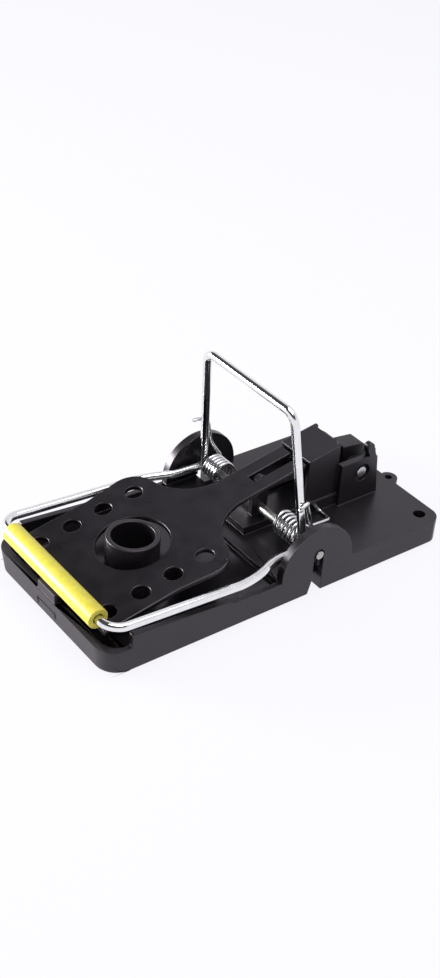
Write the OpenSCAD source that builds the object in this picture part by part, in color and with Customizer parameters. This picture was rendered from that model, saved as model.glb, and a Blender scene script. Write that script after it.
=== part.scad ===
// Snap mouse trap: a moulded base carries a tilting treadle round a bait cup, a pivoting
// catch, and a sprung wire striker with a sleeved bar and a tall setting lever.
// Millimetres. X runs from the striking end (-X) to the catch end (+X), Y across, Z up,
// z = 0 is the face the base rests on and x = y = 0 is the middle of the base.

/* [Base] */
// Length of the base, without the rear eye
base_len = 138; // [134:0.5:142]
// Width of the base
base_w = 69; // [68.5:0.1:71]
// Thickness of the outer walls and of the deck
wall = 2; // [1.6:0.1:2.2]
// Height of the rear deck
deck_z = 9; // [8.8:0.1:9.2]
// Corner radius at the striking end
front_r = 7.5; // [6:0.5:9]
// Corner radius at the catch end
rear_r = 5; // [3:0.5:8]
// Height of the floor in the treadle well
well_z = 7; // [6:0.1:7.4]
// Height of the wall at the striking end
front_wall_z = 8.6; // [7.8:0.1:9.4]
// Distance by which the striking end leans out at its top
front_lean = 1.1; // [0.6:0.1:1.4]
// Width of the groove behind the front wall
groove_w = 5; // [4:0.5:6]
// Thickness of the raised side rims
rim_t = 2.2; // [1.8:0.1:2.2]
// Height of the rims at their front end
rim_front_z = 13.6; // [12:0.1:13.8]
// Height of the rims at the rear end of their slope
rim_rear_z = 10.6; // [10:0.1:11.4]
// Height of the stop that the treadle's front rests on
stop_z = 10.2; // [9.6:0.1:10.3]
// Height of the block below the sleeve
block_z = 11.8; // [11:0.1:12.4]

/* [Axle ears] */
// Distance of the axle in front of the base's rear end
axle_inset = 56.6; // [55.5:0.1:57.5]
// Height of the axle
axle_z = 15; // [14.8:0.1:15.6]
// Radius of the steel axle
axle_r = 1.5; // [1.3:0.1:1.5]
// Radial clearance of the axle in its seats
axle_gap = 0.05; // [0.02:0.01:0.1]
// Radius of each ear's round top
ear_r = 14.8; // [14:0.1:15.5]
// Thickness of each ear
ear_t = 3.1; // [2.8:0.1:3.2]
// Width of the assembly slot below the axle
slot_w = 4.1; // [3.6:0.1:5]
// Depth of the assembly slot behind the ear's outer face
slot_deep = 8; // [6:0.5:9]

/* [Striker and lever] */
// Radius of the striker and lever wires
wire_r = 1.5; // [1.3:0.1:1.5]
// Height of the striking bar's centre
bar_z = 17.5; // [17.5:0.1:19]
// Distance of the striker's arms inside the base's sides
arm_inset = 1.2; // [0.9:0.1:1.3]
// Bend radius at the striker's front corners
arm_bend_r = 6; // [4:0.5:7]
// Gap between each ear and the arm's end on the axle
root_gap = 1.6; // [1.3:0.1:1.9]
// Distance of the lever's ends inside the arms' ends on the axle
lever_inset = 0.4; // [0.3:0.1:1.1]
// Height of the lever's top bar
lever_z = 65; // [62:0.5:66]
// Distance of the lever's top bar in front of the axle
lever_lean = 7.2; // [5:0.1:9]
// Distance by which each leg of the lever leans in at its top
lever_taper = 4.9; // [2.9:0.5:6.9]
// Bend radius at the lever's top corners
lever_bend_r = 4.5; // [3:0.5:6]

/* [Sleeve] */
// Outer radius of the sleeve on the striking bar
sleeve_r = 3.5; // [3:0.05:3.6]
// Radial clearance of the sleeve on the wire
sleeve_gap = 0.3; // [0.1:0.05:0.5]
// Play of the sleeve between the bends of the striking bar
sleeve_play = 2.8; // [2:0.1:8]

/* [Springs] */
// Radius of the spring wire
spring_r = 0.65; // [0.6:0.05:0.7]
// Radius of the coils, to the middle of the wire
coil_r = 3.9; // [3.7:0.1:4.1]
// Distance between neighbouring turns
coil_pitch = 1.9; // [1.9:0.05:2.2]
// Gap between the coils and the underside of the axle that they are pulled up against
coil_play = 0.15; // [0.1:0.05:0.6]
// Gap between each coil's outer end and the arm's end beside it
coil_gap_y = 0.5; // [0.3:0.1:0.9]
// Height at which the near spring hooks round the lever
near_hook_z = 32.6; // [31:0.1:34]
// Height at which the far spring hooks round the lever
far_hook_z = 34.6; // [32:0.1:36]

/* [Treadle] */
// Distance of the treadle's pivot in front of the base's rear end
pivot_inset = 36; // [35:0.1:36.5]
// Height of the treadle's pivot
pivot_z = 27.5; // [27:0.1:27.8]
// Height of the treadle's top above the pivot, over the pivot
plate_rise = 4.2; // [4.2:0.05:4.5]
// Gap between the treadle's front and its stop
plate_gap = 0.28; // [0.2:0.02:0.5]
// Thickness of the treadle plate
plate_t = 1.8; // [1.5:0.1:1.9]
// Radius of the round holes in the plate
plate_hole_r = 3; // [2:0.1:3.5]
// Radius of the hole round the bait cup
plate_cup_r = 12.3; // [11:0.1:13]
// Radius of the treadle's pivot trunnions
trunnion_r = 1.6; // [1.3:0.1:1.8]
// Radial clearance of the trunnions
trunnion_gap = 0.05; // [0.02:0.01:0.1]

/* [Bait cup] */
// Distance of the bait cup behind the striking end
cup_inset = 31; // [29:0.5:33]
// Outer radius of the cup
cup_r = 9; // [8.2:0.1:9.5]
// Thickness of the cup's wall
cup_wall = 1.8; // [1.4:0.1:2.2]
// Height of the cup's rim
cup_rim_z = 21; // [19.5:0.1:22]

/* [Tower and catch] */
// Distance of the tower's roof in front of the base's rear end
tower_inset = 26; // [25.7:0.1:26.3]
// Length of the tower
tower_len = 15; // [14.5:0.1:15.5]
// Distance of the catch's pin in front of the base's rear end
pin_inset = 17.7; // [17.4:0.1:18]
// Height of the catch's pin
pin_z = 19.7; // [19.5:0.1:19.9]
// Radius of the catch's pin
pin_r = 2.1; // [1.7:0.05:2.2]
// Radial clearance of the catch on its pin
pin_gap = 0.05; // [0.02:0.01:0.1]
// Height of the catch's top at its front
catch_z = 28.3; // [27.8:0.1:28.3]
// Radius of the counterbore round the pin's near end
sink_r = 3.25; // [2.6:0.05:3.6]

/* [Fixing holes] */
// Radius of the two fixing holes
fix_r = 2.1; // [1.6:0.05:2.4]
// Distance of the fixing holes from the sides
fix_side = 5.9; // [5.5:0.1:7.5]
// Distance of the fixing holes from the rear end
fix_inset = 5.8; // [5.5:0.1:7]
// Radius of the hole in the rear eye
eye_hole_r = 1.25; // [0.8:0.05:1.5]
// Outer radius of the rear eye
eye_r = 3.3; // [2.9:0.1:3.8]

/* [Hidden] */
$fn = 48;
eps = 0.01;

// Base
front_x = -base_len / 2;
rear_x = base_len / 2;
side_y = base_w / 2;
groove_x = front_x + wall;
groove_deep = 4;
groove_z = front_wall_z - groove_deep;
stop_y = [-4, 6.4];
block_inset = 0.4;
block_gap = 0.6;
axle_x = rear_x - axle_inset;
ear_x = axle_x - 0.2;
ear_front_x = ear_x - ear_r;
well_rear_x = ear_front_x - 0.4;
rim_front_x = front_x + front_r + 1;
rim_rear_x = well_rear_x - 20;
rim_end_x = well_rear_x - 9;
ear_base_z = 10.5;
ear_in_y = side_y - ear_t;
seat_t = 1.2;
neck_w = 2 * axle_r - 0.4;
post_y = [-2.4, 0];
post_r = 3.2;
post_z = 27.2;
slot_flare = 1.6;
pedestal_w = 13;
pedestal_z = 12;
cup_x = front_x + cup_inset;
cup_hole_r = cup_r - 1.2;
rib_t = 1.6;
rib_x = [well_rear_x - 15, rear_x - 37, rear_x - 19];
clip_z = 60;

// Striker and lever
bar_inset = 1.2;
bar_x = front_x + bar_inset;
arm_y = side_y - arm_inset;
root_y = ear_in_y - root_gap - wire_r;
lever_root_y = root_y - lever_inset;
lever_y = lever_root_y - lever_taper;
kink_x = ear_front_x - 16.4;
kink_z = axle_z - 0.4;
axle_end = side_y + 0.6;
weld_in = 0.8;
wire_sides = 12;
sleeve_y = -0.45;
sleeve_len = 2 * (arm_y - arm_bend_r) - sleeve_play;
sleeve_bore = wire_r + sleeve_gap;

// Treadle
pivot_x = rear_x - pivot_inset;
plate_front_inset = 3;
plate_front_x = front_x + plate_front_inset;
plate_inset = 4.4;
plate_front_y = arm_y - wire_r - plate_inset;
plate_slope = (pivot_z + plate_rise - plate_t - stop_z - plate_gap) / (pivot_x - plate_front_x);
function plate_z(x) = pivot_z + plate_rise + (x - pivot_x) * plate_slope;
neck_y = [-7.8, 5.7];
cove_r = 17.2;
lobe_r = 8.6;
lobe_behind = 44.2;
lobe_x = front_x + lobe_behind;
shoulder = [lobe_x - 9.2, plate_front_y + 0.6];
shoulder_end_x = lobe_x - 13.2;
arc_steps = 9;
fork_y = [-2.9, 0.5];
fork_x = axle_x - post_r - 0.7;
fork_end_x = pivot_x - 6.5;
rib_front_x = fork_x - 6.5;
rib_slant = 4;
hole_x = lobe_x + 0.7;
hole_step = 12.15;
hole_y = plate_front_y - 6.95;
boss_r = 2.9;
tail_drop = 0.85;
tail_t = 1.2;
tail_y = [-3, 2.5];

// Tower, cheeks and catch
tower_rear_x = rear_x - tower_inset;
tower_x = tower_rear_x - tower_len;
pedestal_ahead = 9.4;
pedestal_behind = 4;
pedestal_x = [axle_x - pedestal_ahead, tower_rear_x + pedestal_behind];
tower_y = [-8, 7.6];
tower_wall = 1.6;
roof_t = 1.1;
roof_slope = 0.18;
roof_z = 30.7;
roof_notch_y = [-3.2, 6];
ledge_z = 13.6;
ledge_t = 0.5;
trunnion_y = [tower_y[0] + tower_wall - 1, tower_y[1] - tower_wall + 1];
arms_y = [tower_y[0] + tower_wall + 0.3, tower_y[1] - tower_wall - 0.3];
near_cheek_y = [-10, -7.4];
far_cheek_y = [3.8, 6.4];
pin_x = rear_x - pin_inset;
cheek_ahead = 9.8;
cheek_behind = 8.2;
cheek_x = [pin_x - cheek_ahead, pin_x + cheek_behind];
cheek_z = 25.5;
far_cheek_z = 23.5;
cheek_top_behind = 6.6;
cheek_top_x = pin_x + cheek_top_behind;
cheek_r = 1.8;
finger_behind = [1.5, 5.7];
finger_x = [pin_x + finger_behind[0], pin_x + finger_behind[1]];
finger_z = 30.6;
finger_r = 1.5;
sink_deep = 1.2;
catch_ahead = 4.8;
catch_x = pin_x - catch_ahead;
tail_x = catch_x - 0.3;
catch_y = [-4, 3.2];
catch_rear_z = catch_z - 1.2;
catch_low_z = 16;
catch_behind = 5;
catch_rear_x = pin_x + catch_behind;
nose_behind = 11.3;
nose_x = pin_x + nose_behind;
nose_r = 1.9;
nose_z = 23.8;
nose_low_z = 20.6;
nose_back_behind = 9.1;
nose_back_x = pin_x + nose_back_behind;
nose_y = -0.5;
catch_boss_r = pin_r + 1.5;
catch_boss_y = [near_cheek_y[1] + 0.2, far_cheek_y[0] - 0.2];
pin_end_y = far_cheek_y[1] - 1;

// Fixings
eye_x = rear_x + 0.3;
eye_y = -5.6;
eye_t = 4;
eye_relief = 0.3;
fix_x = rear_x - fix_inset;
fix_y = side_y - fix_side;
fix_boss_r = fix_r + 2.2;

// Directions and paths
function unit(v) = v / norm(v);
function run(p, i) = unit(p[i + 1] - p[i]);
function turn(p, i) = acos(run(p, i - 1) * run(p, i));
function bezier(p, t) = p[0] * pow(1 - t, 3) + p[1] * 3 * t * pow(1 - t, 2)
    + p[2] * 3 * t * t * (1 - t) + p[3] * pow(t, 3);

// The arc that rounds corner i of a path, in the given number of steps
function corner_arc(p, i, bend, steps) = let (into = run(p, i - 1), out = run(p, i),
    start = p[i] - bend * tan(turn(p, i) / 2) * into,
    centre = p[i] + bend / cos(turn(p, i) / 2) * unit(out - into))
    [for (k = [0 : steps]) let (a = turn(p, i) * k / steps)
        centre + cos(a) * (start - centre) + bend * sin(a) * into];

// A path with the same bend at every inner corner
function rounded(p, bend, steps) = concat([p[0]],
    [for (i = [1 : len(p) - 2]) each corner_arc(p, i, bend, steps)], [p[len(p) - 1]]);

function tangent(p, i) = unit(p[min(i + 1, len(p) - 1)] - p[max(i - 1, 0)]);
function carried(n, t) = unit(n - (n * t) * t);
function normals(p) = [for (i = 0, n = carried([0.1, 0.2, 1], tangent(p, 0)); i < len(p);
    i = i + 1, n = i < len(p) ? carried(n, tangent(p, i)) : n) n];

// An unbroken round wire along the points
module wire(p, r, sides) {
    n = normals(p);
    points = [for (i = [0 : len(p) - 1], k = [0 : sides - 1]) let (a = 360 * k / sides)
        p[i] + r * (cos(a) * n[i] + sin(a) * cross(tangent(p, i), n[i]))];
    skin = [for (i = [0 : len(p) - 2], k = [0 : sides - 1]) let (a = i * sides + k,
        b = i * sides + (k + 1) % sides) each [[a, a + sides, b], [b, a + sides, b + sides]]];
    last = (len(p) - 1) * sides;
    ends = [for (k = [1 : sides - 2]) each [[0, k, k + 1], [last, last + k + 1, last + k]]];
    polyhedron(points = points, faces = concat(skin, ends));
}

// A cylinder along Y between two values of y
module across(x, z, y0, y1, r) {
    translate([x, y0, z])
        rotate([-90, 0, 0])
            cylinder(h = y1 - y0, r = r);
}

// A shape drawn in X and Z, made solid between two values of y
module upright(y0, y1) {
    translate([0, y1, 0])
        rotate([90, 0, 0])
            linear_extrude(height = y1 - y0)
                children();
}

module block(x, y, z) {
    translate([x[0], y[0], z[0]])
        cube([x[1] - x[0], y[1] - y[0], z[1] - z[0]]);
}

// A copy of the children on each side of the trap
module both_sides() {
    children();
    mirror([0, 1, 0])
        children();
}

// The base's plan, drawn in by inset
module base_plan(inset) {
    f = front_r - inset;
    r = rear_r - inset;
    x0 = front_x + inset;
    x1 = rear_x - inset;
    y = side_y - inset;
    translate([x0 + f, -y])
        square([x1 - x0 - f - r, 2 * y]);
    translate([x0, f - y])
        square([f + eps, 2 * (y - f)]);
    translate([x1 - r - eps, r - y])
        square([r + eps, 2 * (y - r)]);
    for (s = [-1, 1]) {
        translate([x0 + f, s * (y - f)])
            circle(r = f);
        translate([x1 - r, s * (y - r)])
            circle(r = r);
    }
}

// The moulded tray: outer walls, rear deck, sunk treadle well and front groove
module tray() {
    difference() {
        linear_extrude(height = deck_z)
            base_plan(0);
        translate([0, 0, -eps])
            linear_extrude(height = groove_z - wall + eps)
                base_plan(wall);
        intersection() {
            linear_extrude(height = well_z - wall)
                base_plan(wall);
            block([groove_x + groove_w + wall, rear_x], [-side_y, side_y], [-1, well_z]);
        }
        intersection() {
            linear_extrude(height = deck_z - wall)
                base_plan(wall);
            block([well_rear_x + wall, rear_x], [-side_y, side_y], [-1, deck_z]);
        }
        block([groove_x + groove_w, well_rear_x], [rim_t - side_y, side_y - rim_t],
            [well_z, deck_z + 1]);
        intersection() {
            translate([0, 0, groove_z])
                linear_extrude(height = deck_z)
                    base_plan(wall);
            block([front_x, groove_x + groove_w], [-side_y, side_y], [groove_z, deck_z + 1]);
        }
        block([front_x - 1, rim_front_x], [-side_y - 1, side_y + 1], [front_wall_z, deck_z + 1]);
    }
}

// The skin that makes the striking end lean out, with its round corners
module leaning_front() {
    corner_y = side_y - front_r;
    upright(-corner_y, corner_y)
        polygon([[front_x, 0], [front_x - front_lean, front_wall_z],
            [front_x + 1, front_wall_z], [front_x + 1, 0]]);
    intersection() {
        for (s = [-1, 1])
            translate([front_x + front_r, s * corner_y, 0])
                cylinder(h = front_wall_z, r1 = front_r, r2 = front_r + front_lean);
        for (s = [-1, 1])
            block([front_x - front_lean, front_x + front_r], [min(s * side_y, s * corner_y),
                max(s * side_y, s * corner_y)], [0, front_wall_z]);
        difference() {
            block([front_x - front_lean, front_x + front_r], [-side_y, side_y], [0, front_wall_z]);
            linear_extrude(height = 3 * front_wall_z, center = true)
                base_plan(wall / 2);
        }
    }
    block([front_x - front_lean + block_inset, plate_front_x - block_gap], stop_y,
        [groove_z, block_z]);
}

// The raised rim along one side, highest at the front
module rim() {
    upright(side_y - rim_t, side_y)
        polygon([[rim_front_x, well_z - wall], [rim_front_x, rim_front_z - 0.5],
            [rim_front_x + 0.5, rim_front_z], [rim_rear_x, rim_rear_z], [rim_rear_x, deck_z + 0.6],
            [rim_end_x - 2, deck_z + 0.5], [rim_end_x, deck_z], [rim_end_x, deck_z - wall]]);
}

// One ear, with a round top, that carries an end of the axle
module ear() {
    upright(ear_in_y, side_y) {
        intersection() {
            translate([ear_x, ear_base_z])
                circle(r = ear_r, $fn = 96);
            translate([ear_front_x, ear_base_z - eps])
                square([2 * ear_r, ear_r + 1]);
        }
        translate([ear_front_x, 0])
            square([2 * ear_r, ear_base_z]);
    }
}

// The cut in one ear: open slot outside, snap-in seat for the axle inside
module ear_cut() {
    across(axle_x, axle_z, ear_in_y + seat_t, side_y + 1, slot_w / 2);
    block([axle_x - slot_w / 2, axle_x + slot_w / 2], [ear_in_y + seat_t, side_y + 1],
        [-1, axle_z]);
    block([axle_x - slot_w / 2, axle_x + slot_w / 2], [side_y - slot_deep, side_y],
        [-1, deck_z + eps]);
    upright(ear_in_y - 1, side_y + 1)
        polygon([[axle_x - slot_w / 2 - slot_flare, -1], [axle_x + slot_w / 2, -1],
            [axle_x + slot_w / 2, 4], [axle_x - slot_w / 2, 5]]);
    across(axle_x, axle_z, ear_in_y - 1, side_y, axle_r + axle_gap);
    block([axle_x - neck_w / 2, axle_x + neck_w / 2], [ear_in_y - 1, side_y], [-1, axle_z]);
}

// The solid block under the deck that walls in an ear's slot
module slot_block() {
    block([axle_x - slot_w / 2 - slot_flare - wall, axle_x + slot_w / 2 + wall],
        [side_y - slot_deep - wall, side_y - wall + eps], [0, deck_z - wall + eps]);
}

// The post in the middle that steadies the axle, seen through the treadle's fork
module axle_post() {
    upright(post_y[0], post_y[1]) {
        translate([axle_x - post_r, pedestal_z - 1])
            square([2 * post_r, post_z - post_r - pedestal_z + 1]);
        translate([axle_x, post_z - post_r])
            circle(r = post_r);
    }
}

function roof_top(x) = roof_z + (x - tower_x) * roof_slope;

// The tower's two walls and sloping roof, open in front and behind
module tower() {
    wall_rear_x = tower_rear_x - 1.5;
    for (y = [tower_y[0], tower_y[1] - tower_wall])
        upright(y, y + tower_wall)
            polygon([[tower_x, deck_z - 1], [tower_x, roof_top(tower_x)],
                [wall_rear_x, roof_top(wall_rear_x)], [wall_rear_x, deck_z - 1]]);
    intersection() {
        upright(tower_y[0], tower_y[1])
            polygon([[tower_x, roof_top(tower_x)], [tower_rear_x, roof_top(tower_rear_x)],
                [tower_rear_x, roof_top(tower_rear_x) - roof_t],
                [tower_x, roof_top(tower_x) - roof_t]]);
        linear_extrude(height = clip_z)
            difference() {
                polygon([[tower_x, tower_y[0]], [tower_rear_x - 3.2, tower_y[0]],
                    [tower_rear_x, tower_y[0] + 4], [tower_rear_x, tower_y[1]],
                    [tower_x, tower_y[1]]]);
                translate([tower_rear_x - 1, roof_notch_y[0]])
                    square([2, roof_notch_y[1] - roof_notch_y[0]]);
            }
    }
    block([tower_x - 8, cheek_x[0] + 1], [tower_y[0] - ledge_t, tower_y[0] + tower_wall],
        [deck_z - 1, ledge_z]);
    block([tower_x - 8, cheek_x[0] + 1], [tower_y[1] - tower_wall, tower_y[1]],
        [deck_z - 1, ledge_z]);
}

// One cheek beside the catch, up to the given height, with its rear top corner rounded
module cheek(y, top) {
    upright(y[0], y[1]) {
        polygon([[cheek_x[0], deck_z - 1], [cheek_x[0], top], [cheek_top_x - cheek_r, top],
            [cheek_top_x, top - cheek_r], [cheek_x[1], deck_z], [cheek_x[1], deck_z - 1]]);
        translate([cheek_top_x - cheek_r, top - cheek_r])
            circle(r = cheek_r);
    }
}

// The finger on the near cheek that guides the lever's bar on to the catch
module finger() {
    upright(near_cheek_y[0], near_cheek_y[1]) {
        polygon([[finger_x[0] + 1.2, cheek_z - 2], [finger_x[0] + 1.2, cheek_z],
            [finger_x[0], cheek_z + 2.4], [finger_x[0], finger_z - finger_r],
            [finger_x[0] + 2 * finger_r, finger_z - finger_r], [finger_x[1], cheek_z],
            [cheek_top_x, cheek_z - cheek_r], [cheek_top_x, cheek_z - 2]]);
        translate([finger_x[0] + finger_r, finger_z - finger_r])
            circle(r = finger_r);
    }
}

// Stiffening ribs and hole bosses under the well and the deck
module underside() {
    floor_z = well_z - wall + eps;
    side_in_y = side_y - wall + eps;
    block([rib_x[0], well_rear_x + wall], [-rib_t / 2, rib_t / 2], [0, floor_z]);
    block([rib_x[0] - rib_t / 2, rib_x[0] + rib_t / 2], [-side_in_y, side_in_y], [0, floor_z]);
    block([well_rear_x + wall, rear_x - wall], [-rib_t / 2, rib_t / 2],
        [0, deck_z - wall + eps]);
    for (x = [rib_x[1], rib_x[2]])
        block([x - rib_t / 2, x + rib_t / 2], [-side_in_y, side_in_y], [0, deck_z - wall + eps]);
    translate([cup_x, 0, 0])
        cylinder(h = floor_z, r = cup_r + 1.4);
    for (s = [-1, 1])
        translate([fix_x, s * fix_y, 0])
            cylinder(h = deck_z - wall + eps, r = fix_boss_r);
}

module base() color("#26242a") {
    difference() {
        union() {
            tray();
            leaning_front();
            both_sides()
                rim();
            both_sides()
                ear();
            both_sides()
                slot_block();
            block([groove_x, groove_x + groove_w + eps], stop_y, [groove_z, stop_z]);
            block(pedestal_x, [-pedestal_w / 2, pedestal_w / 2], [deck_z - 1, pedestal_z]);
            axle_post();
            tower();
            cheek(near_cheek_y, cheek_z);
            cheek(far_cheek_y, far_cheek_z);
            finger();
            underside();
            translate([eye_x, eye_y, deck_z - eye_t])
                cylinder(h = eye_t, r = eye_r);
        }
        both_sides()
            ear_cut();
        across(axle_x, axle_z, post_y[0] - 1, post_y[1] + 1, axle_r + axle_gap);
        across(pivot_x, pivot_z, trunnion_y[0], trunnion_y[1], trunnion_r + trunnion_gap);
        across(pin_x, pin_z, near_cheek_y[0] - 1, pin_end_y, pin_r);
        across(pin_x, pin_z, near_cheek_y[0] - 1, near_cheek_y[0] + sink_deep, sink_r);
        translate([cup_x, 0, -1]) {
            cylinder(h = deck_z + 1, r = cup_hole_r);
            cylinder(h = well_z - wall + 1, r = cup_r + 0.2);
        }
        for (s = [-1, 1])
            translate([fix_x, s * fix_y, -1])
                cylinder(h = deck_z + 2, r = fix_r);
        translate([eye_x, eye_y, -1]) {
            cylinder(h = deck_z + 2, r = eye_hole_r);
            cylinder(h = deck_z - eye_t + 1, r = eye_hole_r + eye_relief);
        }
    }
}

// A cup that snaps into the well's floor and stands up through the treadle
module bait_cup() color("#2b282f") {
    bead = 0.3;
    stem_r = cup_hole_r - 0.1;
    in_r = cup_r - cup_wall;
    foot_deep = 1.8;
    foot_z = well_z - wall - foot_deep;
    translate([cup_x, 0, 0])
        rotate_extrude()
            polygon([[0, foot_z], [stem_r, foot_z], [stem_r + bead, foot_z + 0.8],
                [stem_r + bead, well_z - wall - 0.1], [stem_r, well_z - wall - 0.1],
                [stem_r, well_z], [cup_r, well_z], [cup_r, cup_rim_z - 0.6],
                [cup_r - 0.4, cup_rim_z], [in_r + 0.4, cup_rim_z], [in_r, cup_rim_z - 0.6],
                [in_r, well_z + 0.8], [in_r - 0.8, well_z], [0, well_z]]);
}

// One side of the treadle's outline, from the neck round the cove and the lobe to the front
function side_outline(neck) = let (cove_y = neck + cove_r, rise = cove_y - hole_y,
    reach = sqrt(pow(cove_r + lobe_r, 2) - rise * rise), lean = atan2(rise, reach))
    concat([for (i = [0 : arc_steps]) let (a = 270 - (90 - lean) * i / arc_steps)
            [lobe_x + reach + cove_r * cos(a), cove_y + cove_r * sin(a)]],
        [for (i = [1 : arc_steps]) let (a = lean + (100 - lean) * i / arc_steps)
            [lobe_x + lobe_r * cos(a), hole_y + lobe_r * sin(a)]],
        [shoulder, [shoulder_end_x, plate_front_y], [plate_front_x, plate_front_y]]);

// The treadle's plan: broad plate, coved neck and two fork arms
module treadle_plan() {
    near = [for (p = side_outline(-neck_y[0])) [p[0], -p[1]]];
    far = side_outline(neck_y[1]);
    difference() {
        polygon(concat([[fork_end_x, neck_y[0]]], near,
            [for (i = [len(far) - 1 : -1 : 0]) far[i]], [[fork_end_x, neck_y[1]]]));
        translate([fork_x, fork_y[0]])
            square([fork_end_x, fork_y[1] - fork_y[0]]);
        for (i = [0 : 3], s = [-1, 1])
            translate([hole_x - i * hole_step, s * hole_y])
                circle(r = plate_hole_r);
        translate([cup_x, 0])
            circle(r = plate_cup_r, $fn = 96);
    }
}

// A fork arm's deep rib, from under the neck to the pivot
module fork_rib(y0, y1) {
    upright(y0, y1)
        polygon([[rib_front_x, plate_z(rib_front_x) - plate_t - 0.3],
            [rib_front_x, plate_z(rib_front_x) - plate_t + eps],
            [fork_end_x - 1, plate_z(fork_end_x - 1) - plate_t + eps],
            [fork_end_x, plate_z(fork_end_x) - plate_t - 0.6],
            [pivot_x, pivot_z + boss_r - 0.2], [pivot_x, pivot_z - boss_r + 0.2],
            [fork_end_x - rib_slant, pivot_z - boss_r]]);
}

module treadle() color("#343238") {
    union() {
        intersection() {
            linear_extrude(height = clip_z)
                treadle_plan();
            upright(-side_y, side_y)
                polygon([[plate_front_x, plate_z(plate_front_x)], [fork_end_x, plate_z(fork_end_x)],
                    [fork_end_x, plate_z(fork_end_x) - plate_t],
                    [plate_front_x, plate_z(plate_front_x) - plate_t]]);
        }
        fork_rib(arms_y[0], fork_y[0]);
        fork_rib(fork_y[1], fork_y[1] + fork_y[0] - arms_y[0]);
        across(pivot_x, pivot_z, arms_y[0], arms_y[1], boss_r);
        across(pivot_x, pivot_z, trunnion_y[0] + 0.1, trunnion_y[1] - 0.1, trunnion_r);
        upright(tail_y[0], tail_y[1])
            polygon([[pivot_x, pivot_z + tail_drop], [pivot_x, pivot_z + tail_drop + tail_t + 0.6],
                [tail_x - 4, pivot_z + tail_drop + tail_t], [tail_x, pivot_z + tail_drop + tail_t],
                [tail_x, pivot_z + tail_drop]]);
    }
}

// The catch: a block on the pin whose nose, on the near half, holds the lever's bar down
module catch() color("#2f2d33") {
    top_r = 0.35;
    difference() {
        union() {
            upright(catch_y[0], catch_y[1])
                polygon([[catch_x, catch_low_z], [catch_x, catch_z - top_r],
                    [catch_x + top_r, catch_z], [catch_rear_x - top_r, catch_rear_z],
                    [catch_rear_x, catch_rear_z - top_r], [catch_rear_x, catch_low_z]]);
            upright(catch_y[0], nose_y) {
                polygon([[catch_rear_x - eps, catch_low_z], [catch_rear_x - eps, nose_z + 0.6],
                    [nose_x - nose_r, nose_z], [nose_x - nose_r, nose_low_z],
                    [nose_back_x, nose_low_z], [nose_back_x, catch_low_z]]);
                translate([nose_x - nose_r, nose_z - nose_r])
                    circle(r = nose_r);
                translate([nose_x - nose_r, nose_low_z])
                    square([nose_r, nose_z - nose_r - nose_low_z]);
            }
            across(pin_x, pin_z, catch_boss_y[0], catch_boss_y[1], catch_boss_r);
        }
        across(pin_x, pin_z, near_cheek_y[0], far_cheek_y[1], pin_r + pin_gap);
    }
}

module catch_pin() color("#d9dadd") {
    across(pin_x, pin_z, near_cheek_y[0], pin_end_y, pin_r);
}

module axle() color("#c9cacd") {
    across(axle_x, axle_z, -axle_end, axle_end, axle_r);
}

// Half of the striker's path, from the middle of the bar round the corner, back along the
// rim to the kink and inwards to its root on the axle
arm_path = concat(
    rounded([[bar_x, 0, bar_z], [bar_x, arm_y, bar_z], [kink_x, arm_y, kink_z]], arm_bend_r, 6),
    [for (i = [1 : 7]) bezier([[kink_x, arm_y, kink_z], [kink_x + 9, arm_y - 0.3, kink_z + 0.1],
        [kink_x + 12, root_y + 2.2, axle_z - 0.2], [ear_front_x + 1, root_y + 0.8, axle_z - 0.1]], i / 7)],
    [[axle_x - weld_in, root_y, axle_z]]);
lever_root = [axle_x - 0.9, lever_root_y, axle_z];
lever_top = [axle_x - lever_lean, lever_y, lever_z];
lever_path = rounded([[lever_top[0], 0, lever_z], lever_top, lever_root], lever_bend_r, 5);

// A whole path from half of one: out to the end on one side, back and out on the other
function both_halves(p) = concat([for (i = [len(p) - 1 : -1 : 1]) [p[i][0], -p[i][1], p[i][2]]],
    [for (i = [1 : len(p) - 1]) p[i]]);

module strike_bar() color("#dcdde0") {
    wire(both_halves(arm_path), wire_r, wire_sides);
}

module setting_lever() color("#dcdde0") {
    wire(both_halves(lever_path), wire_r, wire_sides);
}

module bar_sleeve() color("#f0e058") {
    difference() {
        across(bar_x, bar_z, sleeve_y - sleeve_len / 2, sleeve_y + sleeve_len / 2, sleeve_r);
        across(bar_x, bar_z, -side_y, side_y, sleeve_bore);
    }
}

// The wire of one spring, from its hook round the lever down through the coil to the deck.
// Here y grows outwards from the middle of the trap.
rings_per_turn = 8;
coil_turns = 5.9;
coil_rings = round(coil_turns * rings_per_turn);
end_angle = -360 * coil_turns;
coil_out_y = root_y - wire_r - spring_r - coil_gap_y;
coil_in_y = coil_out_y - coil_turns * coil_pitch;
coil_z = axle_z + coil_r * cos(180 / rings_per_turn) - spring_r - axle_r - coil_play;
deck_wire_z = deck_z + spring_r;
function lever_at(z) = lever_root + (lever_top - lever_root) * (z - axle_z) / (lever_z - axle_z);
hook_off = wire_r + spring_r + 0.25;

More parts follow.
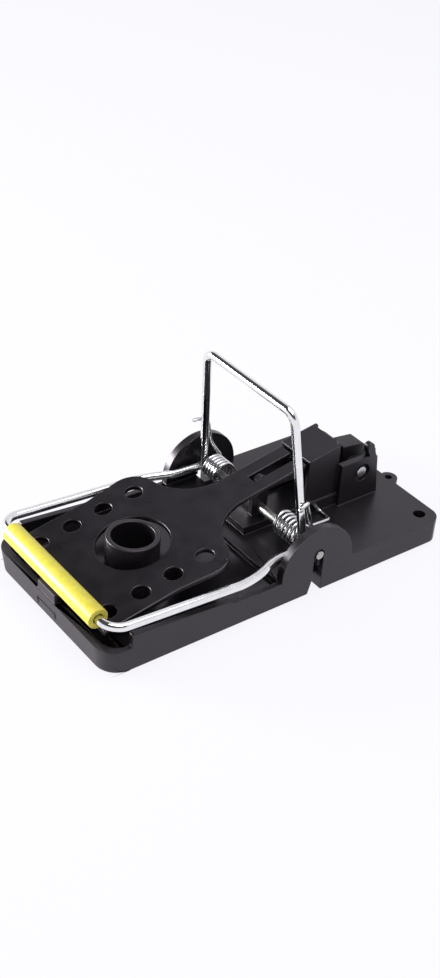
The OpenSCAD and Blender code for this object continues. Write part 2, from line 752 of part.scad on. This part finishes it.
// The hook round the outside of a lever's leg at height z, from its free end, and the leg
// that comes up to it from the coil
function hook_pts(z, end_x, end_z) = let (hook = lever_at(z), out_y = hook[1] + hook_off)
    [[end_x, out_y - 0.3, end_z], [hook[0] - 1.8, out_y, (z + 2 * end_z) / 3],
    [hook[0] + 0.6, out_y, z], [hook[0] + 1.7, hook[1] + 2, z - 0.1],
    [hook[0] + 2.3, hook[1] + 1.2, z - 1.4], [axle_x + 0.15, lever_root_y - 0.4, axle_z + 10.5],
    [axle_x + 1.8, coil_out_y + 1, coil_z + 5.6], [axle_x + coil_r - 0.4, coil_out_y + 0.3,
    coil_z + 2.8], [axle_x + coil_r, coil_out_y + 0.05, coil_z + 1.2]];
coil_pts = [for (i = [0 : coil_rings]) let (a = end_angle * i / coil_rings)
    [axle_x + coil_r * cos(a), coil_out_y - coil_pitch * coil_turns * i / coil_rings,
        coil_z + coil_r * sin(a)]];
leg_x = axle_x + coil_r * cos(end_angle)
    + (coil_z + coil_r * sin(end_angle) - deck_wire_z) * sin(end_angle + 360 * 6)
    / cos(end_angle + 360 * 6);
foot_x = tower_x + 5.5;
foot_y = -tower_y[0] + ledge_t + spring_r;
leg_y = max(coil_in_y + 0.6, foot_y + 2);
leg_pts = [[leg_x - 1.4, coil_in_y, deck_wire_z + 1.6], [leg_x - 0.2, coil_in_y, deck_wire_z + 0.4],
    [leg_x + 1.2, coil_in_y + 0.1, deck_wire_z], [foot_x - 2, leg_y, deck_wire_z],
    [foot_x - 0.4, leg_y - 0.3, deck_wire_z], [foot_x, leg_y - 1.4, deck_wire_z],
    [foot_x, foot_y + 0.8, deck_wire_z + 0.2], [foot_x - 1, foot_y, deck_wire_z + 1.4],
    [foot_x - 2.5, foot_y, ledge_z - 0.3]];
near_pts = concat(hook_pts(near_hook_z, axle_x - 4.2, near_hook_z - 1.9), coil_pts, leg_pts);
far_pts = concat(hook_pts(far_hook_z, axle_x - 7.6, far_hook_z + 0.8), coil_pts, leg_pts);

function coil_gap(p, r, skip) = min([for (i = [0 : len(p) - 1 - skip], j = [i + skip : len(p) - 1])
    norm(p[i] - p[j])]) - 2 * r;

module spring_far() color("#cfd0d4") {
    echo(least_gap_in_far_spring = coil_gap(far_pts, spring_r, 5));
    wire(far_pts, spring_r, 6);
}

module spring_near() color("#cfd0d4") {
    echo(least_gap_in_near_spring = coil_gap(near_pts, spring_r, 5));
    mirror([0, 1, 0])
        wire(near_pts, spring_r, 6);
}

base();
bait_cup();
treadle();
catch();
catch_pin();
axle();
strike_bar();
setting_lever();
bar_sleeve();
spring_near();
spring_far();
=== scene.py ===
import math
import bmesh
import bpy
from mathutils import Matrix, Vector


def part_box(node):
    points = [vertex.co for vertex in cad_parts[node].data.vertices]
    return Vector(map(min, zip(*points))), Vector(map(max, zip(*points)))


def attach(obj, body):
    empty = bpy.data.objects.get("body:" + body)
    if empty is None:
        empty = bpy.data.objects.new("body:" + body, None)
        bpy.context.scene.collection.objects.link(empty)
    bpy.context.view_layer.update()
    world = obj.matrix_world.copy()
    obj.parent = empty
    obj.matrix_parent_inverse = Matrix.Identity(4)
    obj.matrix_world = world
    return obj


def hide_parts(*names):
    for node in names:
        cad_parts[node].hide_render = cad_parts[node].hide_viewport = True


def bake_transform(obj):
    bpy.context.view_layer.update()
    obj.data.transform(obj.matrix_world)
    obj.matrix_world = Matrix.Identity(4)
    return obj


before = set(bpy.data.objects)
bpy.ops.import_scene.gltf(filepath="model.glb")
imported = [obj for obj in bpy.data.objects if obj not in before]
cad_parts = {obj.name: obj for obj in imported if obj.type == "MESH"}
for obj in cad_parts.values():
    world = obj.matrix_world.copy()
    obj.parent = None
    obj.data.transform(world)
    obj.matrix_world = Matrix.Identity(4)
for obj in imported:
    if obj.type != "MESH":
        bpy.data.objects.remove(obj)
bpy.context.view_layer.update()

mm = 0.001
scene = bpy.context.scene
print("frame loaded:", len(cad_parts), "nodes")


def boxOf(node):
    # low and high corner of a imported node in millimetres, to the twentieth that the part is drawn in
    return [[round(value / mm * 20) / 20 for value in corner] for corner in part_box(node)]


def middleOf(box):
    return [(a + b) / 2 for a, b in zip(*box)]


# a long lens, the aim is in pixels from the middle of the picture
cameraSet = {"azimuth": -39.222, "elevation": 36.927, "roll": 4.638, "distance": 0.505076,
             "focal": 1471.167, "aimRight": 3.622, "aimUp": 60.276, "imageHeight": 978, "sensor": 36}


def makeCamera(c):
    a, e, r = (math.radians(c[k]) for k in ("azimuth", "elevation", "roll"))
    back = Vector((math.sin(a) * math.cos(e), -math.cos(a) * math.cos(e), math.sin(e)))
    right = (-back).cross(Vector((0, 0, 1))).normalized()
    up = right.cross(-back)
    right, up = right * math.cos(r) + up * math.sin(r), up * math.cos(r) - right * math.sin(r)
    forward = (-back - right * (c["aimRight"] / c["focal"]) + up * (c["aimUp"] / c["focal"])).normalized()
    right = (right - forward * right.dot(forward)).normalized()
    up = right.cross(forward)
    data = bpy.data.cameras.new("camera")
    data.sensor_width = c["sensor"]
    data.lens = c["focal"] * c["sensor"] / c["imageHeight"]
    data.clip_start = 0.01
    camera = bpy.data.objects.new("camera", data)
    turn = Matrix((right, up, -forward)).transposed()
    camera.matrix_world = Matrix.Translation(back * c["distance"]) @ turn.to_4x4()
    scene.collection.objects.link(camera)
    scene.camera = camera


makeCamera(cameraSet)
print("camera set")


def newMaterial(name, **sockets):
    material = bpy.data.materials.new(name)
    material.use_nodes = True
    shader = material.node_tree.nodes["Principled BSDF"]
    for key, value in sockets.items():
        shader.inputs[key.replace("_", " ")].default_value = value
    return material, material.node_tree, shader


def addNode(tree, kind, **settings):
    node = tree.nodes.new(kind)
    for key, value in settings.items():
        if hasattr(node, key):
            setattr(node, key, value)
        else:
            node.inputs[key.replace("_", " ")].default_value = value
    return node


def put(tree, value, socket):
    # an output is linked to the socket, a number or colour is set on it
    if isinstance(value, bpy.types.NodeSocket):
        tree.links.new(value, socket)
    else:
        socket.default_value = value


def placeOn(tree, kind="Object"):
    place = addNode(tree, "ShaderNodeTexCoord")
    split = addNode(tree, "ShaderNodeSeparateXYZ")
    tree.links.new(place.outputs[kind], split.inputs["Vector"])
    return [split.outputs[axis] for axis in "XYZ"]


def noiseOn(tree, scale, detail=2.0, stretch=(1, 1, 1)):
    place = addNode(tree, "ShaderNodeTexCoord")
    mapping = addNode(tree, "ShaderNodeMapping")
    mapping.inputs["Scale"].default_value = stretch
    noise = addNode(tree, "ShaderNodeTexNoise", Scale=scale, Detail=detail)
    tree.links.new(place.outputs["Object"], mapping.inputs["Vector"])
    tree.links.new(mapping.outputs["Vector"], noise.inputs["Vector"])
    return noise.outputs["Fac"]


def mathOn(tree, operation, *values, clamp=False):
    node = addNode(tree, "ShaderNodeMath", operation=operation, use_clamp=clamp)
    for value, socket in zip(values, node.inputs):
        put(tree, value, socket)
    return node.outputs["Value"]


def ramp(tree, source, low, high, ends=(0.3, 0.7), smooth=False):
    node = addNode(tree, "ShaderNodeMapRange", interpolation_type="SMOOTHSTEP" if smooth else "LINEAR")
    for key, value in zip(("From Min", "From Max", "To Min", "To Max"), (*ends, low, high)):
        node.inputs[key].default_value = value
    tree.links.new(source, node.inputs["Value"])
    return node.outputs["Result"]


def mixed(tree, share, first, second, kind="VALUE"):
    node = addNode(tree, "ShaderNodeMix", data_type="RGBA" if kind == "RGBA" else "FLOAT")
    put(tree, share, node.inputs[0])
    for name, value in (("A", first), ("B", second)):
        put(tree, value, next(s for s in node.inputs if s.type == kind and s.name == name))
    return next(s for s in node.outputs if s.type == kind)


def twoColours(tree, share, first, second):
    return mixed(tree, share, (*first, 1), (*second, 1), "RGBA")


def bumpOn(tree, shader, source, strength, depth):
    bump = addNode(tree, "ShaderNodeBump", Strength=strength, Distance=depth * mm)
    tree.links.new(source, bump.inputs["Height"])
    tree.links.new(bump.outputs["Normal"], shader.inputs["Normal"])


plastics = {
    "base": {"name": "basePlastic", "dark": (0.006, 0.0052, 0.0064), "light": (0.008, 0.007, 0.0086),
             "rough": 0.33, "ior": 1.5, "grain": 0.05},
    "treadle": {"name": "treadlePlastic", "dark": (0.0055, 0.0046, 0.006), "light": (0.0075, 0.0062, 0.008),
                "rough": 0.3, "ior": 1.5, "grain": 0.04},
    "cup": {"name": "cupPlastic", "dark": (0.0055, 0.0044, 0.0058), "light": (0.0075, 0.006, 0.0078),
            "rough": 0.34, "ior": 1.5, "grain": 0.04},
    "catch": {"name": "catchPlastic", "dark": (0.007, 0.0062, 0.0076), "light": (0.0095, 0.0082, 0.010),
              "rough": 0.36, "ior": 1.37, "grain": 0.04},
}
skin = {"tint": (1, 0.91, 1.03, 1), "toneScale": 45, "roughScale": 160, "spread": (-0.04, 0.05),
        "fineScale": 3200, "fine": 0.4, "bump": 0.5}
baseLow, baseHigh = boxOf("base")
# the outer walls' dark and light colours are painted light: lighter than the rest of the base to stand in for
# the light falling on the front and sides
walls = {"front": baseLow[0] + 1.7, "side": baseHigh[1] - 0.25, "rough": (0.5, 0.66), "roughScale": 2200,
         "fineScale": 2400, "dark": (0.020, 0.0178, 0.021), "light": (0.026, 0.0232, 0.027)}
wellFloor = {"top": 7.1, "rough": (0.14, 0.2)}


def wallFinishAndPaintedLight(tree, tone, colour, rough, height):
    # the outer walls are rougher and grainier, as from the spark-eroded half of the mould, and their lighter
    # colour is painted light standing in for the lamp from the left and the bright floor they reflect; the
    # well's floor was polished
    x, y, z = placeOn(tree)
    front = mathOn(tree, "LESS_THAN", x, walls["front"] * mm)
    side = mathOn(tree, "GREATER_THAN", mathOn(tree, "ABSOLUTE", y), walls["side"] * mm)
    outside = mathOn(tree, "MAXIMUM", front, side)
    low = mathOn(tree, "LESS_THAN", z, wellFloor["top"] * mm)
    low = mathOn(tree, "SUBTRACT", low, outside, clamp=True)
    # painted light: the outer front and side walls get the lighter painted colour, the rest of the base keeps
    # its own tone
    colour = mixed(tree, outside, colour, twoColours(tree, tone, walls["dark"], walls["light"]), "RGBA")
    eroded = ramp(tree, noiseOn(tree, walls["roughScale"], 2), *walls["rough"])
    polished = ramp(tree, noiseOn(tree, skin["toneScale"], 3), *wellFloor["rough"])
    rough = mixed(tree, low, mixed(tree, outside, rough, eroded), polished)
    height = mixed(tree, outside, height, noiseOn(tree, walls["fineScale"], 2.5))
    return colour, rough, height


def mouldedPlastic(p, extra=None):
    material, tree, shader = newMaterial(p["name"], IOR=p["ior"], Specular_Tint=skin["tint"])
    tone = ramp(tree, noiseOn(tree, skin["toneScale"], 3), 0, 1)
    colour = twoColours(tree, tone, p["dark"], p["light"])
    smoother, rougher = (p["rough"] + s for s in skin["spread"])
    rough = ramp(tree, noiseOn(tree, skin["roughScale"], 3), smoother, rougher)
    height = ramp(tree, noiseOn(tree, skin["fineScale"], 1.5), 0, skin["fine"], (0, 1))
    if extra:
        colour, rough, height = extra(tree, tone, colour, rough, height)
    tree.links.new(colour, shader.inputs["Base Color"])
    tree.links.new(rough, shader.inputs["Roughness"])
    bumpOn(tree, shader, height, skin["bump"], p["grain"])
    return material


metals = {
    "striker": {"name": "strikerPlating", "colour": (0.86, 0.86, 0.87), "rough": 0.07, "stretch": (1, 1, 1)},
    "spring": {"name": "springPlating", "colour": (0.70, 0.70, 0.72), "rough": 0.16, "stretch": (1, 1, 1)},
    "axle": {"name": "axleSteel", "colour": (0.46, 0.45, 0.44), "rough": 0.38, "stretch": (1, 0.1, 1)},
    "pin": {"name": "pinSteel", "colour": (0.5, 0.5, 0.52), "rough": 0.3, "stretch": (1, 0.1, 1)},
}
plating = {"toneScale": 400, "roughScale": 900, "bumpScale": 1800, "worn": 0.93, "spread": 0.06, "bump": 0.06,
           "depth": 0.03}


def brightWire(w):
    material, tree, shader = newMaterial(w["name"], Metallic=1.0)
    worn = [c * plating["worn"] for c in w["colour"]]
    tone = ramp(tree, noiseOn(tree, plating["toneScale"], 2), 0, 1)
    tree.links.new(twoColours(tree, tone, w["colour"], worn), shader.inputs["Base Color"])
    streaks = noiseOn(tree, plating["roughScale"], 3, w["stretch"])
    rough = ramp(tree, streaks, w["rough"], w["rough"] + plating["spread"])
    tree.links.new(rough, shader.inputs["Roughness"])
    fine = noiseOn(tree, plating["bumpScale"], 2, w["stretch"])
    bumpOn(tree, shader, fine, plating["bump"], plating["depth"])
    return material


yellow = {"dark": (0.49, 0.43, 0.037), "light": (0.55, 0.49, 0.061), "toneScale": 700, "rough": (0.34, 0.44),
          "roughScale": 300, "bumpScale": 900, "bump": 0.2, "depth": 0.05, "scatter": 0.12}


def sleevePlastic(y):
    material, tree, shader = newMaterial("sleevePlastic", IOR=1.5, Subsurface_Weight=y["scatter"],
                                         Subsurface_Scale=2 * mm)
    tone = ramp(tree, noiseOn(tree, y["toneScale"], 3), 0, 1, (0.35, 0.65))
    tree.links.new(twoColours(tree, tone, y["dark"], y["light"]), shader.inputs["Base Color"])
    tree.links.new(ramp(tree, noiseOn(tree, y["roughScale"], 2), *y["rough"]), shader.inputs["Roughness"])
    bumpOn(tree, shader, noiseOn(tree, y["bumpScale"], 2), y["bump"], y["depth"])
    return material


materials = {key: mouldedPlastic(p, wallFinishAndPaintedLight if key == "base" else None) for key, p in plastics.items()}
materials.update({key: brightWire(w) for key, w in metals.items()})
materials["sleeve"] = sleevePlastic(yellow)
print("materials made:", len(materials))


def finishPiece(name, bm, body, material, node=None, sharp=32, flat=False):
    mesh = bpy.data.meshes.new(name)
    bm.to_mesh(mesh)
    bm.free()
    mesh.polygons.foreach_set("use_smooth", [True] * len(mesh.polygons))
    mesh.set_sharp_from_angle(angle=math.radians(sharp))
    piece = bpy.data.objects.new(name, mesh)
    scene.collection.objects.link(piece)
    piece.data.materials.append(materials[material])
    if body:
        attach(piece, body)
    if node:
        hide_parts(node)
    if flat:
        steady = piece.modifiers.new("steadyNormals", "WEIGHTED_NORMAL")
        steady.keep_sharp = True
    return piece


def at(x, y, z):
    return Vector((x, y, z)) * mm


def tidyUp(bm):
    bmesh.ops.remove_doubles(bm, verts=bm.verts, dist=0.002 * mm)


def roundedCopy(node, width, segments=2, above=34):
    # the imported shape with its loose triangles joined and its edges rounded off
    bm = bmesh.new()
    bm.from_mesh(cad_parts[node].data)
    tidyUp(bm)
    bmesh.ops.dissolve_limit(bm, angle_limit=math.radians(0.5), verts=bm.verts, edges=bm.edges)
    edges = [e for e in bm.edges if len(e.link_faces) == 2 and e.calc_face_angle(0) > math.radians(above)]
    bmesh.ops.bevel(bm, geom=edges, offset=width * mm, segments=segments, profile=0.5, affect="EDGES",
                    clamp_overlap=False, material=-1, loop_slide=True)
    return bm


def arc(r, h, width, start, end, steps=6, rise=None):
    # points of a profile round (r, h), between two angles in degrees
    turns = [math.radians(start + (end - start) * k / steps) for k in range(steps + 1)]
    rise = width if rise is None else rise
    return [(r + width * math.cos(a), h + rise * math.sin(a)) for a in turns]


def lathe(profile, centre, axis, steps):
    # profile: radius and place along the axis, in millimetres
    bm = bmesh.new()
    verts = [bm.verts.new((r * mm, 0, h * mm)) for r, h in profile]
    edges = [bm.edges.new(pair) for pair in zip(verts, verts[1:])]
    bmesh.ops.spin(bm, geom=verts + edges, cent=(0, 0, 0), axis=(0, 0, 1), dvec=(0, 0, 0),
                   angle=math.tau, steps=steps, use_merge=True, use_duplicate=False)
    tidyUp(bm)
    turn = Vector((0, 0, 1)).rotation_difference(Vector(axis)).to_matrix().to_4x4()
    bmesh.ops.transform(bm, matrix=Matrix.Translation(centre) @ turn, verts=bm.verts)
    bmesh.ops.recalc_face_normals(bm, faces=bm.faces)
    return bm


def tube(points, radius, sides):
    # an unbroken round wire along a line of points
    curve = bpy.data.curves.new("path", "CURVE")
    curve.dimensions = "3D"
    curve.bevel_depth = radius * mm
    curve.bevel_resolution = sides // 4 - 1
    curve.use_fill_caps = True
    spline = curve.splines.new("POLY")
    spline.points.add(len(points) - 1)
    for point, place in zip(spline.points, points):
        point.co = (*place, 1)
    holder = bpy.data.objects.new("path", curve)
    scene.collection.objects.link(holder)
    mesh = bpy.data.meshes.new_from_object(holder)
    bm = bmesh.new()
    bm.from_mesh(mesh)
    bmesh.ops.remove_doubles(bm, verts=bm.verts, dist=0.001 * mm)
    bmesh.ops.recalc_face_normals(bm, faces=bm.faces)
    bpy.data.objects.remove(holder)
    bpy.data.meshes.remove(mesh)
    bpy.data.curves.remove(curve)
    return bm


def roundCorners(points, bend, steps):
    made = [points[0]]
    for a, b, c in zip(points, points[1:], points[2:]):
        into, out = (b - a).normalized(), (c - b).normalized()
        turn = into.angle(out)
        start = b - into * bend * math.tan(turn / 2)
        centre = b + (out - into).normalized() * bend / math.cos(turn / 2)
        for k in range(steps + 1):
            t = turn * k / steps
            made.append(centre + (start - centre) * math.cos(t) + into * bend * math.sin(t))
    return made + [points[-1]]


def smoothLine(points, parts=6):
    # a curve through every point
    made = []
    ends = [points[0] * 2 - points[1], *points, points[-1] * 2 - points[-2]]
    for p0, p1, p2, p3 in zip(ends, ends[1:], ends[2:], ends[3:]):
        for k in range(parts):
            t = k / parts
            made.append(0.5 * (p1 * 2 + (p2 - p0) * t + (p0 * 2 - p1 * 5 + p2 * 4 - p3) * t * t
                               + (p1 * 3 - p0 - p2 * 3 + p3) * t ** 3))
    return made + [points[-1]]


def mirrored(points):
    return [Vector((p.x, -p.y, p.z)) for p in points]


def bothHalves(half):
    return list(reversed(mirrored(half[1:]))) + half[1:]


# each moulding rides on the body and wears the material that bear its node's name
mouldings = {"mouldedBase": {"node": "base", "slot": "base_plastic", "edge": 0.28},
             "treadlePlate": {"node": "treadle", "slot": "treadle_plastic", "edge": 0.35},
             "catchBlock": {"node": "catch", "slot": "catch_plastic", "edge": 0.25}}
for pieceName, moulding in mouldings.items():
    node = moulding["node"]
    finishPiece(pieceName, roundedCopy(node, moulding["edge"]), node, node, node, flat=True)
print("mouldings made")

cupLow, cupHigh = boxOf("bait_cup")
cup = {"x": cupHigh[0] - cupHigh[1], "outer": cupHigh[1], "rim": cupHigh[2], "footBottom": cupLow[2],
       "inner": 7.2, "floor": 7, "lip": 0.45, "fillet": 1, "stem": 7.7, "barb": 0.3, "barbWidest": 4,
       "barbTop": 4.9}


def cupProfile(c):
    barb = c["stem"] + c["barb"]
    foot = [(0, c["footBottom"]), (c["stem"], c["footBottom"]), (barb, c["barbWidest"]), (barb, c["barbTop"]),
            (c["stem"], c["barbTop"]), (c["stem"], c["floor"]), (c["outer"], c["floor"])]
    outerLip = arc(c["outer"] - c["lip"], c["rim"] - c["lip"], c["lip"], 0, 90)
    innerLip = arc(c["inner"] + c["lip"], c["rim"] - c["lip"], c["lip"], 90, 180)
    fillet = arc(c["inner"] - c["fillet"], c["floor"] + c["fillet"], c["fillet"], 0, -90)
    return foot + outerLip + innerLip + fillet + [(0, c["floor"])]


finishPiece("baitCup", lathe(cupProfile(cup), at(cup["x"], 0, 0), (0, 0, 1), 96), "base",
            "cup", "bait_cup", sharp=40)
print("bait cup made")

rodMiddle, rodHigh = middleOf(boxOf("axle")), boxOf("axle")[1]
axle = {"x": rodMiddle[0], "z": rodMiddle[2], "radius": rodHigh[0] - rodMiddle[0], "half": rodHigh[1],
        "dome": 0.35}
sleeveLow, sleeveHigh = boxOf("bar_sleeve")
sleeveMiddle = middleOf((sleeveLow, sleeveHigh))
sleeve = {"y": sleeveMiddle[1], "length": sleeveHigh[1] - sleeveLow[1],
          "outer": sleeveHigh[2] - sleeveMiddle[2], "inner": 1.8, "edge": 0.3}
wireRadius = 1.5
striker = {"barX": sleeveMiddle[0], "barZ": sleeveMiddle[2], "armY": 33.3, "bend": 6, "kinkX": -19,
           "kinkZ": 14.6, "kinkEase": 9, "easeX": -7, "endX": -1.6, "rootY": 28.3, "weld": 0.8, "steps": 16}
lever = {"topX": 5.2, "topY": 23, "topZ": 65, "rootX": 10.6, "rootY": 27.9, "bend": 4.5}


def strikerHalf(s):
    corner = roundCorners([at(s["barX"], 0, s["barZ"]), at(s["barX"], s["armY"], s["barZ"]),
                           at(s["kinkX"], s["armY"], s["kinkZ"])], s["bend"] * mm, 14)
    # the arm eases inwards to its root between the ear and the spring
    p0 = at(s["kinkX"], s["armY"], s["kinkZ"])
    p1 = at(s["kinkX"] + s["kinkEase"], s["armY"] - 0.3, s["kinkZ"] + 0.1)
    p2 = at(s["easeX"], s["rootY"] + 2.2, axle["z"] - 0.2)
    p3 = at(s["endX"], s["rootY"] + 0.8, axle["z"] - 0.1)
    joggle = []
    for k in range(1, s["steps"] + 1):
        t = k / s["steps"]
        joggle.append(p0 * (1 - t) ** 3 + p1 * 3 * t * (1 - t) ** 2 + p2 * 3 * t * t * (1 - t) + p3 * t ** 3)
    return corner + joggle + [at(axle["x"] - s["weld"], s["rootY"], axle["z"])]


def leverHalf(v):
    return roundCorners([at(v["topX"], 0, v["topZ"]), at(v["topX"], v["topY"], v["topZ"]),
                         at(v["rootX"], v["rootY"], axle["z"])], v["bend"] * mm, 14)


for pieceName, half, node in (("strikerWire", strikerHalf(striker), "strike_bar"),
                              ("leverWire", leverHalf(lever), "setting_lever")):
    finishPiece(pieceName, tube(bothHalves(half), wireRadius, 24), "striker", "striker", node,
                sharp=50)


def rodProfile(radius, half, dome):
    end = arc(0, half - dome, radius, 90, 0, 12, dome)
    return [(r, -h) for r, h in end] + end[::-1]


def sleeveProfile(s):
    half, edge = s["length"] / 2, s["edge"]
    end = arc(s["outer"] - edge, half - edge, edge, 0, 90)
    end += arc(s["inner"] + edge, half - edge, edge, 90, 180)
    ring = end + [(r, -h) for r, h in reversed(end)]
    return ring + ring[:1]


finishPiece("axleRod", lathe(rodProfile(axle["radius"], axle["half"], axle["dome"]),
                             at(axle["x"], 0, axle["z"]), (0, 1, 0), 48),
            "striker", "axle", "axle")
finishPiece("barSleeve", lathe(sleeveProfile(sleeve), at(striker["barX"], sleeve["y"], striker["barZ"]),
                               (0, 1, 0), 64), "striker", "sleeve", "bar_sleeve")
print("striker made")

spring = {"wire": 0.65, "coil": 3.9, "lift": 1.3, "gap": 0.5, "hookGap": 0.25, "legReach": 6.5, "deck": 9.65,
          "footX": 33.5, "footY": 9.2, "ledge": 13.3, "stepsPerTurn": 36, "free": 0.8, "held": 0.2}
outerY = striker["rootY"] - wireRadius - spring["wire"] - spring["gap"]
springs = {"nearSpring": {"node": "spring_near", "side": -1, "hookZ": 32.6, "endX": 8.2, "endRise": -1.9,
                          "pitch": 1.9, "turns": 5.9},
           "farSpring": {"node": "spring_far", "side": 1, "hookZ": 34.6, "endX": 4.8, "endRise": 0.8,
                         "pitch": 1.5, "turns": 4.9}}


def leverAt(z):
    share = (z - axle["z"]) / (lever["topZ"] - axle["z"])
    return [lever["root" + k] + (lever["top" + k] - lever["root" + k]) * share for k in "XY"]


def hookPoints(s, one):
    # from the free end round the outside of the lever's leg and down to the coil
    (x, y), z, endZ = leverAt(one["hookZ"]), one["hookZ"], one["hookZ"] + one["endRise"]
    out, coilZ = y + wireRadius + s["wire"] + s["hookGap"], axle["z"] + s["lift"]
    return [at(one["endX"], out - 0.3, endZ), at(x - 1.8, out, (z + 2 * endZ) / 3), at(x + 0.6, out, z),
            at(x + 1.7, y + 2, z - 0.1), at(x + 2.3, y + 1.2, z - 1.4),
            at(axle["x"] + 0.15, lever["rootY"] - 0.4, axle["z"] + 10.5),
            at(axle["x"] + 1.8, outerY + 1, coilZ + 5.6),
            at(axle["x"] + s["coil"] - 0.4, outerY + 0.3, coilZ + 2.8),
            at(axle["x"] + s["coil"], outerY + 0.05, coilZ + 1.2)]


def coilPoints(s, one):
    made, steps = [], round(one["turns"] * s["stepsPerTurn"])
    for k in range(steps + 1):
        turn = one["turns"] * k / steps
        made.append(at(axle["x"] + s["coil"] * math.cos(math.tau * turn), outerY - one["pitch"] * turn,
                       axle["z"] + s["lift"] - s["coil"] * math.sin(math.tau * turn)))
    return made


def legPoints(s, startX, y):
    # down to the deck, along it and up against the tower's ledge
    x, z, foot = startX + s["legReach"], s["deck"], s["footX"]
    return [at(x - 1.4, y, z + 1.6), at(x - 0.2, y, z + 0.4), at(x + 1.2, y + 0.1, z),
            at(foot - 2, y + 0.6, z), at(foot - 0.4, y + 0.3, z), at(foot, y - 0.8, z),
            at(foot, s["footY"] + 0.8, z + 0.2), at(foot - 1, s["footY"], z + 1.4),
            at(foot - 2.5, s["footY"], s["ledge"])]


def makeSpring(name, s, one):
    coil = coilPoints(s, one)
    innerY = coil[-1].y / mm
    leg = legPoints(s, coil[-1].x / mm, innerY)
    points = smoothLine(hookPoints(s, one) + coil[:1])[:-1] + coil + smoothLine(coil[-1:] + leg)[1:]
    if one["side"] < 0:
        points = mirrored(points)
    piece = finishPiece(name, tube(points, s["wire"], 12), None, "spring", one["node"],
                        sharp=50)
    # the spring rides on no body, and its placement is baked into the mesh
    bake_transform(piece)


for pieceName, one in springs.items():
    makeSpring(pieceName, spring, one)
print("springs made")

pinMiddle, pinHigh = middleOf(boxOf("catch_pin")), boxOf("catch_pin")[1]
pin = {"radius": pinHigh[0] - pinMiddle[0], "half": pinHigh[1] - pinMiddle[1], "dome": 0.5}
finishPiece("catchPin", lathe(rodProfile(pin["radius"], pin["half"], pin["dome"]), at(*pinMiddle),
                              (0, 1, 0), 40), "base", "pin", "catch_pin")
print("catch pin made")

studio = {"white": (0.965, 0.957, 1.0), "fill": 0.45, "ceiling": 0.07, "ceilingFrom": (0.32, 0.5),
          "sideFrom": (-0.13, 0.1), "sideGlow": 0.87, "lean": -0.5, "floorZ": -0.0004, "floorHalf": 3,
          "paper": (0.8, 0.795, 0.83), "paperRough": 0.9, "paperGlow": 0.9}
lamps = {"topBox": {"place": (0.05, -0.1, 0.8), "size": (0.6, 0.6), "power": 5.5},
         "leftBox": {"place": (-0.6, 0.68, 0.12), "size": (0.5, 0.4), "power": 24}}


def makeWorld(s):
    # white to the camera and dimmer as a fill, under a dark ceiling that only reflections meet
    world = bpy.data.worlds.new("studioWorld")
    scene.world = world
    world.use_nodes = True
    tree = world.node_tree
    back = tree.nodes["Background"]
    back.inputs["Color"].default_value = (*s["white"], 1)
    x, _, z = placeOn(tree, "Generated")
    low = ramp(tree, z, 1.0, s["ceiling"], s["ceilingFrom"], True)
    across = mathOn(tree, "MULTIPLY_ADD", z, s["lean"], x)
    side = ramp(tree, across, s["ceiling"], s["sideGlow"], s["sideFrom"], True)
    path = addNode(tree, "ShaderNodeLightPath")
    glow = mixed(tree, path.outputs["Is Glossy Ray"], s["fill"], mathOn(tree, "MAXIMUM", low, side))
    for ray in ("Is Camera Ray", "Is Transmission Ray"):
        glow = mixed(tree, path.outputs[ray], glow, 1.0)
    tree.links.new(glow, back.inputs["Strength"])


def makeFloor(s):
    bm = bmesh.new()
    bmesh.ops.create_grid(bm, x_segments=1, y_segments=1, size=s["floorHalf"])
    mesh = bpy.data.meshes.new("studioFloor")
    bm.to_mesh(mesh)
    bm.free()
    floor = bpy.data.objects.new("studioFloor", mesh)
    floor.location.z = s["floorZ"]
    scene.collection.objects.link(floor)
    material, tree, shader = newMaterial("floorPaper", Base_Color=(*s["paper"], 1), Roughness=s["paperRough"])
    # the camera and reflections see mostly even white, with the object's shadow left in it
    glow = addNode(tree, "ShaderNodeEmission", Color=(*s["white"], 1))
    mix = addNode(tree, "ShaderNodeMixShader")
    path = addNode(tree, "ShaderNodeLightPath")
    seen = mathOn(tree, "ADD", path.outputs["Is Camera Ray"], path.outputs["Is Glossy Ray"], clamp=True)
    tree.links.new(ramp(tree, seen, 0.0, s["paperGlow"], (0, 1)), mix.inputs["Fac"])
    tree.links.new(shader.outputs["BSDF"], mix.inputs[1])
    tree.links.new(glow.outputs["Emission"], mix.inputs[2])
    tree.links.new(mix.outputs["Shader"], tree.nodes["Material Output"].inputs["Surface"])
    mesh.materials.append(material)


def softbox(name, box):
    data = bpy.data.lights.new(name, "AREA")
    data.shape = "RECTANGLE"
    data.size, data.size_y = box["size"]
    data.energy = box["power"]
    lamp = bpy.data.objects.new(name, data)
    lamp.location = box["place"]
    lamp.visible_camera = False
    lamp.rotation_euler = (-Vector(box["place"])).to_track_quat("-Z", "Y").to_euler()
    scene.collection.objects.link(lamp)


makeWorld(studio)
makeFloor(studio)
for lampName, box in lamps.items():
    softbox(lampName, box)
scene.view_settings.view_transform = "Standard"
print("studio set")
